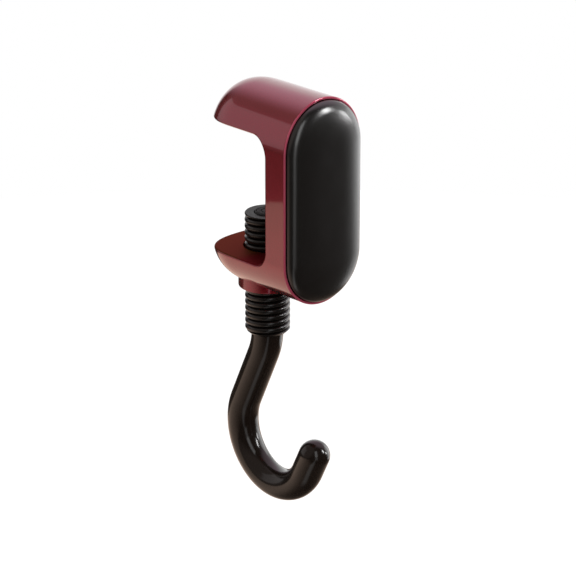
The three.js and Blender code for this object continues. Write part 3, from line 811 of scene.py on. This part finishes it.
crest_level = sleeve_high.z - FIRST_CREST_DROP
turns = math.ceil((sleeve_high.z - sleeve_low.z) / THREAD_PITCH) + SPARE_TURNS
start = crest_level - (turns - SPARE_TURNS / 2 + 0.5 + FIRST_CREST_ANGLE / (2 * math.pi)) * THREAD_PITCH
let_go()
bpy.ops.mesh.primitive_plane_add(size=MM)
screw_shell = bpy.context.object
screw_shell.name = screw_shell.data.name = "screw_shell"
edit(screw_shell)
choose(screw_shell, "VERT", lambda vertex, place: vertex.index > 0)
bpy.ops.mesh.delete(type="VERT")
bpy.ops.mesh.select_all(action="SELECT")
first = bmesh.from_edit_mesh(screw_shell.data).verts[:][0].co.copy()
here = Vector((THREAD_RADIUS - THREAD_DEPTH, 0, start))
bpy.ops.transform.translate(value=here - first)
for i in range(1, PROFILE_STEPS + 1):
    share = i / PROFILE_STEPS
    there = Vector((THREAD_RADIUS - THREAD_DEPTH * groove(share), 0, start + share * THREAD_PITCH))
    bpy.ops.mesh.extrude_region_move(TRANSFORM_OT_translate={"value": there - here})
    here = there
apply_modifier(screw_shell, "SCREW", axis="Z", angle=2 * math.pi, screw_offset=THREAD_PITCH, iterations=turns,
               steps=TURN_STEPS, render_steps=TURN_STEPS, use_merge_vertices=False)
settle(screw_shell)
for level, outside in ((sleeve_low.z - THREAD_PITCH / 2, -1), (sleeve_high.z + THREAD_PITCH / 2, 1)):
    edit(screw_shell)
    bpy.ops.mesh.select_all(action="SELECT")
    bpy.ops.mesh.bisect(plane_co=(0, 0, level), plane_no=(0, 0, outside), use_fill=True, clear_outer=True)
settle(screw_shell)
print("thread", len(screw_shell.data.polygons), "faces")

# %% [markdown]
# Both ends of the screw are chamfered, the lower one more. From below it takes the rod
# and the rod's thinner spigot, from above the foot drops into a pocket, and a hole from
# the side takes the cross pin that joins the screw and the rod.

# %% Ends and bores of the screw
TOP_EDGE = 0.3 * MM
LOWER_EDGE = 1.1 * MM
ROD_SOCKET = 2.5 * MM
ROD_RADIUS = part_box("hook_rod")[1].x
SPIGOT_RADIUS = 4.4 * MM

foot_low, foot_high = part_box("foot_pad")
pin_low, pin_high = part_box("sleeve_pin")
PIN_LEVEL = (pin_low.z + pin_high.z) / 2
PIN_HOLE = (pin_high.z - pin_low.z) / 2 + FIT
rod_shoulder = sleeve_low.z + ROD_SOCKET
outer = THREAD_RADIUS + PAST
rings = [(THREAD_RADIUS - LOWER_EDGE, sleeve_low.z), (outer, sleeve_low.z + LOWER_EDGE + PAST),
         (outer, sleeve_high.z - TOP_EDGE - PAST), (THREAD_RADIUS - TOP_EDGE, sleeve_high.z)]
cut(screw_shell, grow_rings("ends", rings), "INTERSECT")
rings = [(ROD_RADIUS + FIT, sleeve_low.z - PAST), (ROD_RADIUS + FIT, rod_shoulder),
         (SPIGOT_RADIUS + FIT, rod_shoulder), (SPIGOT_RADIUS + FIT, foot_low.z - PAST),
         (foot_high.x + FIT, foot_low.z - PAST), (foot_high.x + FIT, sleeve_high.z + PAST)]
cut(screw_shell, grow_rings("bore", rings))
drill(screw_shell, PIN_HOLE, -THREAD_RADIUS - PAST, THREAD_RADIUS + PAST, "X", (0, 0, PIN_LEVEL))
soften(screw_shell)
dress(screw_shell, "hook_screw", "screw_black", screw_black, "screw_sleeve")

# %% [markdown]
# ## The hook
# The hook is one round rod, bent cold: a little back under the screw, down a slope,
# round the bowl that carries the strap, and up to a lip with a domed tip. Here it is
# bent in the same order. The end face of the straight rod is pushed along or spun
# about a centre beside it, which keeps the rod round and evenly thick everywhere.

# %% Hook
HOOK_SIDES = 64
SHANK_STRAIGHT = 1.7 * MM
BACK_BEND_RADIUS = 25.0 * MM
BACK_BEND = math.radians(24.94)
SHANK_SLOPE = 22.13 * MM
BOWL_RADIUS = 20.4 * MM
BOWL_BEND = math.radians(83.7)
LIP_RADIUS = 17.5 * MM
LIP_BEND = math.radians(95.2)
TIP_STRAIGHT = 8.2 * MM
BEND_STEP = math.radians(2.5)
TIP_RINGS = 14


class RodEnd:
    """The selected end face of the rod: where it is, where it is heading, and its next moves."""

    def __init__(self, at, heading):
        self.at = at
        self.heading = heading

    def push(self, length):
        bpy.ops.mesh.extrude_region_move(TRANSFORM_OT_translate={"value": self.heading * length})
        self.at = self.at + self.heading * length

    def bend(self, radius, angle, side):
        """Bends the rod about a line along X, towards the back with side 1 and the front with -1."""
        axis = Vector((side, 0, 0))
        centre = self.at + axis.cross(self.heading) * radius
        bpy.ops.mesh.spin(steps=round(angle / BEND_STEP), angle=-angle, center=centre, axis=axis)
        turn = Matrix.Rotation(angle, 3, axis)
        self.at = centre + turn @ (self.at - centre)
        self.heading = turn @ self.heading


rod_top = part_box("hook_rod")[1].z
hook_shell = grow_rings("hook_shell", [
    (SPIGOT_RADIUS, rod_top), (SPIGOT_RADIUS, rod_shoulder), (ROD_RADIUS, rod_shoulder),
    (ROD_RADIUS, rod_shoulder - SHANK_STRAIGHT)], sides=HOOK_SIDES)
end = RodEnd(at=Vector((0, 0, rod_shoulder - SHANK_STRAIGHT)), heading=Vector((0, 0, -1)))
edit(hook_shell)
choose(hook_shell, "FACE", lambda face, place: (place - end.at).length < MERGE)
end.bend(BACK_BEND_RADIUS, BACK_BEND, 1)
end.push(SHANK_SLOPE)
end.bend(BOWL_RADIUS, BOWL_BEND, -1)
end.bend(LIP_RADIUS, LIP_BEND, -1)
end.push(TIP_STRAIGHT)
last_radius = ROD_RADIUS
last_out = 0.0
for i in range(1, TIP_RINGS):
    angle = math.pi / 2 * i / TIP_RINGS
    radius = ROD_RADIUS * math.cos(angle)
    out = ROD_RADIUS * math.sin(angle)
    end.push(out - last_out)
    bpy.ops.transform.resize(value=[radius / last_radius] * 3, center_override=end.at)
    last_radius = radius
    last_out = out
settle(hook_shell)
drill(hook_shell, PIN_HOLE, -ROD_RADIUS - PAST, ROD_RADIUS + PAST, "X", (0, 0, PIN_LEVEL))
soften(hook_shell)
dress(hook_shell, "hook_screw", "rod_black", rod_black, "hook_rod")

# %% [markdown]
# ## The foot and the pads
# The foot presses on the table from below. Two rings are pressed into its face, so
# that it grips, and its lower side has the pocket in which the stud's flange turns.

# %% Foot
FOOT_EDGE = 0.5 * MM
FOOT_GROOVE = 0.35 * MM
FOOT_RINGS = ((4.3 * MM, 3.7 * MM), (2.5 * MM, 1.9 * MM))
STEM_HOLE = 2.3 * MM
POCKET_SIDES = 48

rings = [(foot_high.x - FOOT_EDGE / 2, foot_low.z), (foot_high.x, foot_low.z + FOOT_EDGE / 2)]
rings += reversed(rounded_edge(foot_high.x, foot_high.z, FOOT_EDGE, steps=5, toward=-1))
for outer_radius, inner_radius in FOOT_RINGS:
    rings += [(outer_radius, foot_high.z), (outer_radius - FOOT_GROOVE / 2, foot_high.z - FOOT_GROOVE),
              (inner_radius + FOOT_GROOVE / 2, foot_high.z - FOOT_GROOVE), (inner_radius, foot_high.z)]
foot_shell = grow_rings("foot_shell", rings)
stem_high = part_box("foot_stem")[1]
pocket_low = foot_low.z + FOOT_EDGE
rings = [(STEM_HOLE, foot_low.z - PAST), (STEM_HOLE, pocket_low), (stem_high.x + FIT, pocket_low),
         (stem_high.x + FIT, stem_high.z + FIT)]
cut(foot_shell, grow_rings("pocket", rings, sides=POCKET_SIDES))
soften(foot_shell)
dress(foot_shell, "foot", "grip_rubber", rubber, "foot_pad")

# %% [markdown]
# Both rubber pads have soft edges and a row of grooves, which are cut with one block
# that is repeated by an array. The row is centred between the rounded corners. The pad
# under the arm rests on the table top, and two plugs hold it in the frame.

# %% Grip pad
PAD_EDGE = 0.3 * MM
PAD_EDGE_STEPS = 3
GROOVE_WIDTH = 0.7 * MM
GROOVE_DEPTH = 0.3 * MM
GROOVE_PITCH = 2.2 * MM


def first_groove(low, high, corner):
    """Where a centred row of grooves starts between two rounded corners, and how long it may be."""
    length = high - low - 2 * corner
    return low + corner + (length % GROOVE_PITCH) / 2, length


def cut_grooves(piece, low, high, run):
    """Cuts the block from low to high, and its copies along the run, out of the piece."""
    cutter = block("grooves", low, high)
    apply_modifier(cutter, "ARRAY", count=int(run.length / GROOVE_PITCH) + 1, use_relative_offset=False,
                   use_constant_offset=True, constant_offset_displace=run.normalized() * GROOVE_PITCH)
    cut(piece, cutter)


grip_shell = rounded_block("grip_shell", pad_low, (pad_high.x, pad_high.y, PAD_THICKNESS), PAD_CORNER, "Z")
bevel(grip_shell, PAD_EDGE, PAD_EDGE_STEPS, lambda edge, place: place.z < pad_low.z + MERGE)
for place in plug_places():
    rings = [(PLUG_RADIUS, PAD_THICKNESS / 2), (PLUG_RADIUS, pad_high.z)]
    cut(grip_shell, grow_rings("plug", rings, middle=place, sides=HOLE_SIDES), "UNION")
first, length = first_groove(pad_low.y, pad_high.y, PAD_CORNER)
cut_grooves(grip_shell, (pad_low.x - PAST, first - GROOVE_WIDTH / 2, pad_low.z - PAST),
            (pad_high.x + PAST, first + GROOVE_WIDTH / 2, pad_low.z + GROOVE_DEPTH), Vector((0, length, 0)))
soften(grip_shell)
dress(grip_shell, "clamp", "grip_rubber", rubber, "upper_grip_pad")

# %% [markdown]
# The thin pad on the inside of the spine meets the table's edge, and hides the heads
# of the cover's screws. It is glued in, so it is a plain strip with the same grooves.

# %% Edge pad
edge_shell = rounded_block("edge_shell", edge_low, edge_high, EDGE_PAD_CORNER, "Y")
bevel(edge_shell, PAD_EDGE, PAD_EDGE_STEPS, lambda edge, place: place.y > edge_high.y - MERGE)
first, length = first_groove(edge_low.z, edge_high.z, EDGE_PAD_CORNER)
cut_grooves(edge_shell, (edge_low.x - PAST, edge_high.y - GROOVE_DEPTH, first - GROOVE_WIDTH / 2),
            (edge_high.x + PAST, edge_high.y + PAST, first + GROOVE_WIDTH / 2), Vector((0, 0, length)))
soften(edge_shell)
dress(edge_shell, "clamp", "grip_rubber", rubber, "edge_pad")

# %% [markdown]
# The small hardware is mostly hidden, so the CAD's own solids only get a finish:
# zinc-plated steel for the screws, the pin, the stud and its clip, and nylon for the
# washer between the turning screw and the foot.

# %% Steel and nylon
HARDWARE = {"cover_screw_upper": zinc, "cover_screw_lower": zinc, "sleeve_pin": zinc,
            "foot_stem": zinc, "foot_clip": zinc, "thrust_washer": nylon}

for name, material in HARDWARE.items():
    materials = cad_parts[name].data.materials
    materials.clear()
    materials.append(material)
print("CAD nodes with a finish:", len(HARDWARE))

# %% [markdown]
# ## Floor, lamps and world
# The object hangs over a round pale floor. Every direction here is given as seen from
# the object: an azimuth from the camera's heading, with the right side positive, and
# an elevation.

# %% Directions
MIDDLE = Vector((0, -6 * MM, -60 * MM))


def toward(azimuth, elevation):
    turn = math.radians(azimuth) - CAMERA_HEADING
    rise = math.radians(elevation)
    return Vector((math.sin(turn) * math.cos(rise), math.cos(turn) * math.cos(rise), math.sin(rise)))


# %% [markdown]
# The floor looks white to the camera and still takes the shadow. In the reflections it
# is a warm pool of light, brightest behind the object, dark in front and underneath,
# and ended by a soft edge far behind. One neutral strip in front of the object draws
# the narrow grey stripe on the hook. From below the floor is clear, so that it never
# hides the object.

# %% Floor
FLOOR_LEVEL = -300 * MM
FLOOR_RADIUS = 798 * MM
FLOOR_SIDES = 128
FLOOR_WARMTH = (1.0, 0.75, 0.60, 1)
POOL_AZIMUTH = -50
POOL_START = -250 * MM
POOL_FULL = 370 * MM
POOL_EDGE_AZIMUTH = -25
POOL_EDGE_START = 400 * MM
POOL_EDGE_END = 480 * MM
SHADOW_START = 40 * MM
SHADOW_END = 220 * MM
STRIP_AZIMUTH = 168
STRIP_OFFSET = -62 * MM
STRIP_HALF = 38 * MM
STRIP_START = 60 * MM
STRIP_BRIGHTNESS = 0.6
DIFFUSE_GREY = (0.8, 0.8, 0.8, 1)
SHADOW_GREY = (0.2, 0.2, 0.2, 1)
SEEN_BRIGHTNESS = 0.9

let_go()
bpy.ops.mesh.primitive_circle_add(
    vertices=FLOOR_SIDES, radius=FLOOR_RADIUS, fill_type="NGON", location=(0, 0, FLOOR_LEVEL))
floor = bpy.context.object
floor.name = "floor"

ground = Finish("floor_white")
behind = ground.along(ground.place, toward(POOL_AZIMUTH, 0))
beyond = ground.along(ground.place, toward(POOL_EDGE_AZIMUTH, 0))
pool = ground.between(behind, 0.03, 1.0, POOL_START, POOL_FULL)
pool = ground.times(pool, ground.between(ground.distance(ground.place), 0.2, 1.0, SHADOW_START, SHADOW_END))
pool = ground.times(pool, ground.between(beyond, 1.0, 0.05, POOL_EDGE_START, POOL_EDGE_END))
ahead = ground.along(ground.place, toward(STRIP_AZIMUTH, 0))
aside = ground.along(ground.place, toward(STRIP_AZIMUTH - 90, 0))
off_line = ground.compute("ABSOLUTE", ground.compute("SUBTRACT", aside, STRIP_OFFSET))
strip = ground.times(ground.between(off_line, STRIP_BRIGHTNESS, 0.0, STRIP_HALF / 2, STRIP_HALF * 1.5),
                     ground.between(ahead, 0.0, 1.0, STRIP_START, 2 * STRIP_START))

rays = ground.node("LightPath", {}).outputs
direct = ground.compute("MAXIMUM", rays["Is Camera Ray"], rays["Is Transmission Ray"])
plain_white = ground.node("BsdfDiffuse", {"Color": DIFFUSE_GREY}).outputs[0]
shadowed = ground.node("BsdfDiffuse", {"Color": SHADOW_GREY}).outputs[0]
seen_white = ground.node("Emission", {"Strength": SEEN_BRIGHTNESS}).outputs[0]
pool_light = ground.node("Emission", {"Color": FLOOR_WARMTH, "Strength": pool}).outputs[0]
strip_light = ground.node("Emission", {"Strength": strip}).outputs[0]
clear = ground.node("BsdfTransparent", {}).outputs[0]
underneath = ground.node("NewGeometry", {}).outputs["Backfacing"]
reflected = ground.mix(rays["Is Glossy Ray"], plain_white, ground.add(pool_light, strip_light))
from_above = ground.mix(direct, reflected, ground.add(shadowed, seen_white))
ground.give(ground.nodes["Material Output"], {"Surface": ground.mix(underneath, from_above, clear)})
floor.data.materials.append(ground.material)
print("floor at", round(FLOOR_LEVEL / MM), "mm")

# %% [markdown]
# The lamps are softboxes, and each one is given by what it looks like from the object:
# where it stands, how wide and tall it is in degrees, and how bright its face is. A
# lamp's power is four times its area times that brightness.

# %% Lamps
POWER_FACTOR = 4


def softbox(name, azimuth, elevation, wide, tall, distance, brightness, colour=(1, 1, 1)):
    data = bpy.data.lights.new(name, "AREA")
    data.shape = "RECTANGLE"
    data.size = 2 * distance * math.tan(math.radians(wide / 2))
    data.size_y = 2 * distance * math.tan(math.radians(tall / 2))
    data.energy = brightness * POWER_FACTOR * data.size * data.size_y
    data.color = colour
    lamp = bpy.data.objects.new(name, data)
    lamp.location = MIDDLE + toward(azimuth, elevation) * distance
    lamp.rotation_euler = toward(azimuth, elevation).to_track_quat("Z", "Y").to_euler()
    lamp.visible_camera = False
    bpy.context.scene.collection.objects.link(lamp)


softbox("key_light", azimuth=99, elevation=25, wide=9, tall=18, distance=1.0, brightness=18.0)
softbox("second_light", azimuth=81, elevation=4, wide=7, tall=11, distance=1.0, brightness=14.0)
softbox("front_light", azimuth=165, elevation=28, wide=18, tall=44, distance=1.1, brightness=1.6)
softbox("front_strip", azimuth=165, elevation=-12, wide=16, tall=32, distance=1.1, brightness=0.7)
softbox("left_panel", azimuth=-77, elevation=17, wide=42, tall=40, distance=1.2, brightness=0.34,
        colour=(1.0, 0.97, 0.98))
softbox("right_panel", azimuth=55, elevation=-9, wide=36, tall=54, distance=0.38, brightness=1.15)

# %% [markdown]
# The world is a dim studio with one bright side, the white backdrop to the right
# behind the object. A grey wall on the left and a pink glow overhead fill the other
# reflections. Each is a round spot of the sky, full up to one angle from its middle and
# ended at another. What isn't a reflection is lit by a soft white that is weaker from
# below, and the camera looks at plain white.

# %% World
AMBIENT_BELOW = (0.58, 0.57, 0.56)
AMBIENT_ABOVE = (1.0, 0.99, 0.99)
STUDIO_DARK = (0.04, 0.038, 0.036)
LEFT_WALL = (0.32, 0.27, 0.25)
TOP_GLOW = (1.0, 0.79, 0.91)
BACKDROP_WHITE = (1.0, 1.0, 1.0)
BACKDROP_LEVEL = math.sin(math.radians(18))
BACKDROP_TOP = math.sin(math.radians(36))

world = bpy.data.worlds.new("studio")
bpy.context.scene.world = world
world.use_nodes = True
world.node_tree.nodes.clear()
sky = Bench(world.node_tree)
way = sky.node("TexCoord", {}).outputs["Generated"]
rise = sky.part(way, "Z")


def spot(azimuth, elevation, full, end):
    """How much of a direction lies in a round spot, from 1 inside the full angle to 0 at the end."""
    facing = sky.along(way, toward(azimuth, elevation))
    return sky.between(facing, 0.0, 1.0, math.cos(math.radians(end)), math.cos(math.radians(full)))


below_top = sky.between(rise, 0.0, 1.0, BACKDROP_TOP, BACKDROP_LEVEL)
backdrop = sky.times(spot(azimuth=27, elevation=0, full=46, end=60), below_top)
studio = sky.blend(spot(azimuth=-105, elevation=38, full=34, end=60), STUDIO_DARK, LEFT_WALL)
studio = sky.blend(spot(azimuth=20, elevation=45, full=27, end=56), studio, TOP_GLOW)
studio = sky.blend(backdrop, studio, BACKDROP_WHITE)
ambient = sky.blend(sky.between(rise, 0.0, 1.0, 0.0, 1.0), AMBIENT_BELOW, AMBIENT_ABOVE)
soft = sky.node("Background", {"Color": ambient}).outputs[0]
mirrored = sky.node("Background", {"Color": studio}).outputs[0]
plain = sky.node("Background", {"Color": (*BACKDROP_WHITE, 1)}).outputs[0]
rays = sky.node("LightPath", {}).outputs
direct = sky.compute("MAXIMUM", rays["Is Camera Ray"], rays["Is Transmission Ray"])
around = sky.mix(rays["Is Glossy Ray"], soft, mirrored)
sky.node("OutputWorld", {"Surface": sky.mix(direct, around, plain)})
bpy.context.scene.view_settings.view_transform = "Standard"
print("world nodes", len(sky.nodes))
